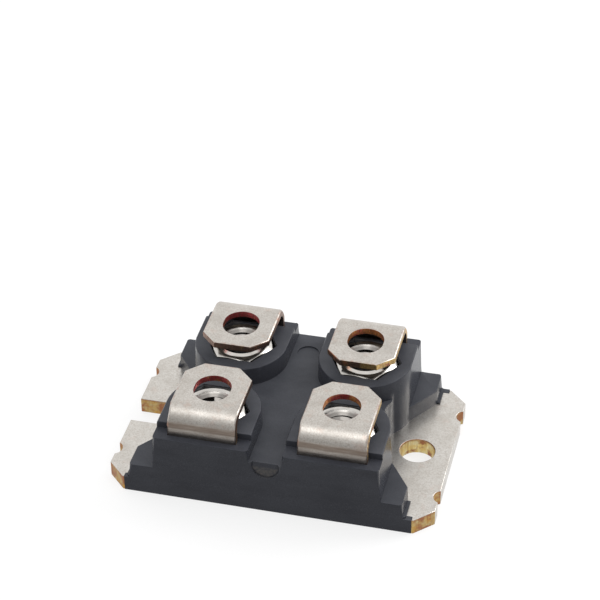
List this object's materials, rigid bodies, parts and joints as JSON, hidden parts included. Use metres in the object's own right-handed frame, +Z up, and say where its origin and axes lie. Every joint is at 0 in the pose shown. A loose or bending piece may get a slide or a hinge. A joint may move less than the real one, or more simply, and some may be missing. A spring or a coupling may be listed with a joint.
{
  "type": "igbt module",
  "caption": "Isolated power transistor module: a plated copper base with a dark moulded body on it, folded strap terminals over loose nuts, a fixing hole and a fixing slot.",
  "frame": {"origin": "centre of the base plate's underside", "axes": "+X along the module towards the round fixing hole, +Y across it, +Z up from the heat sink to the terminals"},
  "size_m": [0.0382, 0.0252, 0.012],
  "materials": {
    "base_nickel": "satin nickel plate over copper, copper showing on cut edges",
    "strap_nickel": "satin nickel plate over copper, copper showing on cut edges",
    "nut_nickel": "bright nickel plate over steel",
    "moulding": "fine matt grain, charcoal epoxy",
    "solder": "dull tin solder",
    "copper": "bare copper",
    "ceramic": "white alumina",
    "silicon": "polished silicon with a metal top layer",
    "bond_wire": "drawn aluminium",
    "gel": "clear soft silicone gel"
  },
  "bodies": {
    "root": {"base_plate": "base_nickel", "base_solder": "solder", "lower_copper": "copper", "ceramic_tile": "ceramic", "collector_copper": "copper", "emitter_copper": "copper", "gate_copper": "copper", "kelvin_copper": "copper", "die_solder": "solder", "igbt_die": "silicon", "diode_die": "silicon", "emitter_bond_wires": "bond_wire", "diode_bond_wires": "bond_wire", "gate_bond_wire": "bond_wire", "kelvin_bond_wire": "bond_wire", "terminal_solder": "solder", "emitter_terminal": "strap_nickel", "gate_terminal": "strap_nickel", "collector_terminal": "strap_nickel", "kelvin_terminal": "strap_nickel", "gel_fill": "gel", "housing": "moulding", "terminal_nuts": "nut_nickel"}
  },
  "joints": []
}
